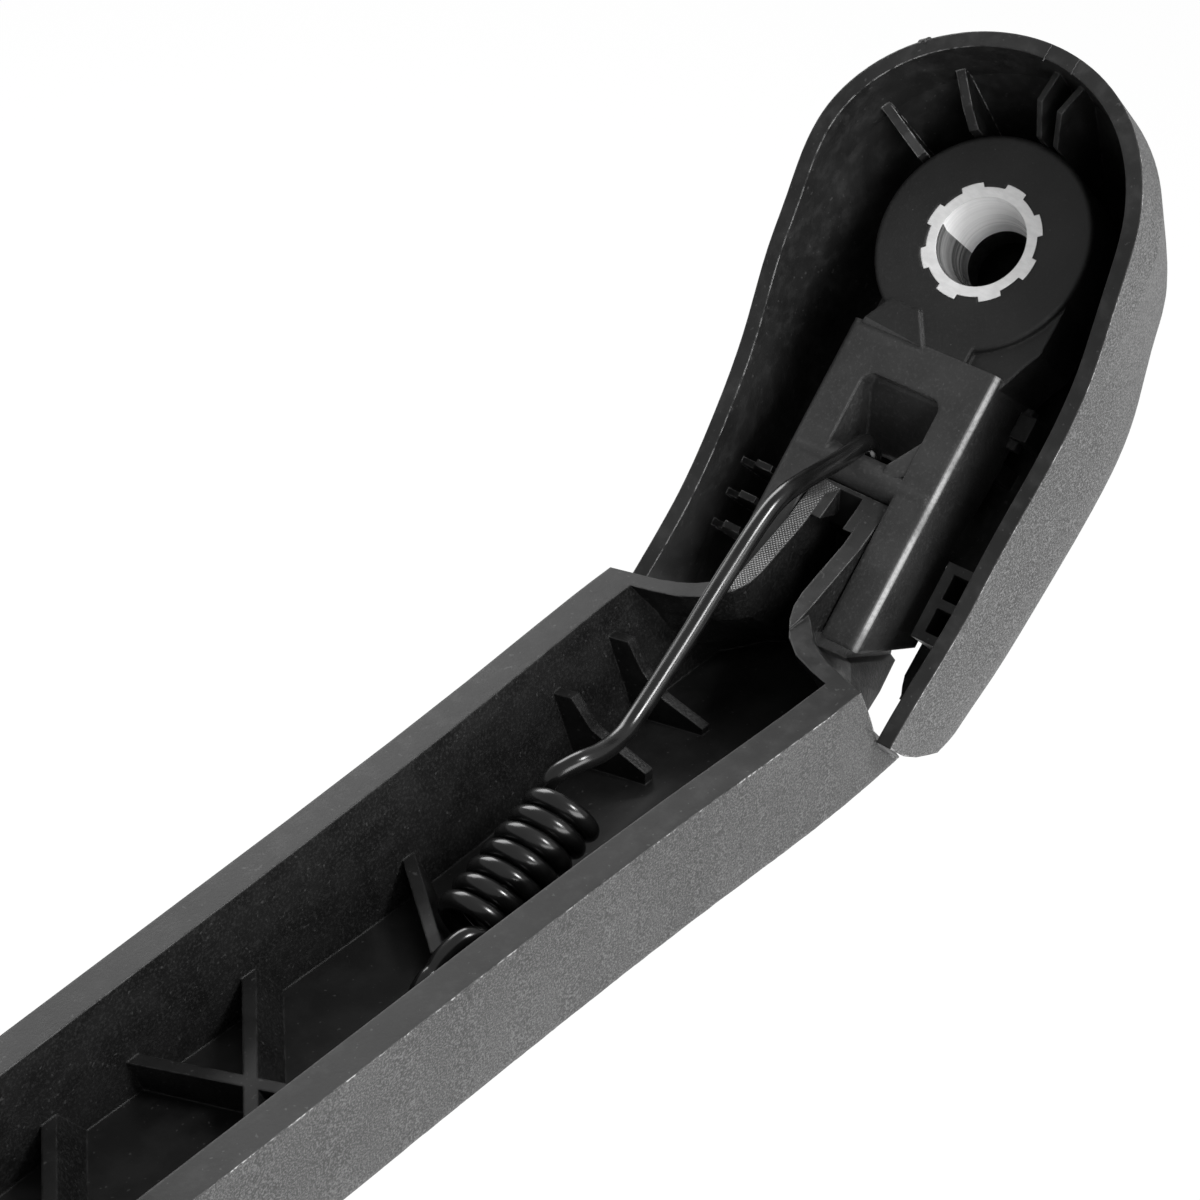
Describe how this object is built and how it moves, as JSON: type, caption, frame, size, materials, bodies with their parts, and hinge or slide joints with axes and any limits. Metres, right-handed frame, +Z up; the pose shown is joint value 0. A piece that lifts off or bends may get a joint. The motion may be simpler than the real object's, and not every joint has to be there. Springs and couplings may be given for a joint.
{
  "type": "wiper arm",
  "caption": "Folding rear wiper arm: a spindle head with a metal insert and clipped cover carries a channel arm pulled by a tension spring.",
  "frame": {"origin": "centre of the spindle bore at its nut side end, where the bore leaves the insert", "axes": "+X along the channel arm from the hinge to the blade end, +Z up from the surface that the arm's back rests on, +Y across, along the hinge axis"},
  "size_m": [0.3089, 0.0428, 0.0657],
  "materials": {
    "head": "fine sandy glass-filled nylon, satin edges",
    "insert": "bare machined aluminium, smooth tapered bore",
    "cap": "grained outside, smooth black rim and inside",
    "arm": "satin moulded inside, grained outside",
    "pin": "ground steel pin",
    "spring": "oiled black spring wire"
  },
  "bodies": {
    "head": {"head": "head", "spindle_insert": "insert", "cap": "cap"},
    "arm": {"arm": "arm", "blade_pin": "pin", "tension_spring": "spring"}
  },
  "joints": [
    {"name": "arm_lift", "type": "hinge", "parent": "head", "child": "arm", "pos_m": [0.03188, 0, -0.0253], "axis": [0, 1, 0], "range_deg": [0, 80], "stiffness_Nm_per_rad": 0.8, "springref_deg": -103.13, "deforming": ["tension_spring"]}
  ]
}
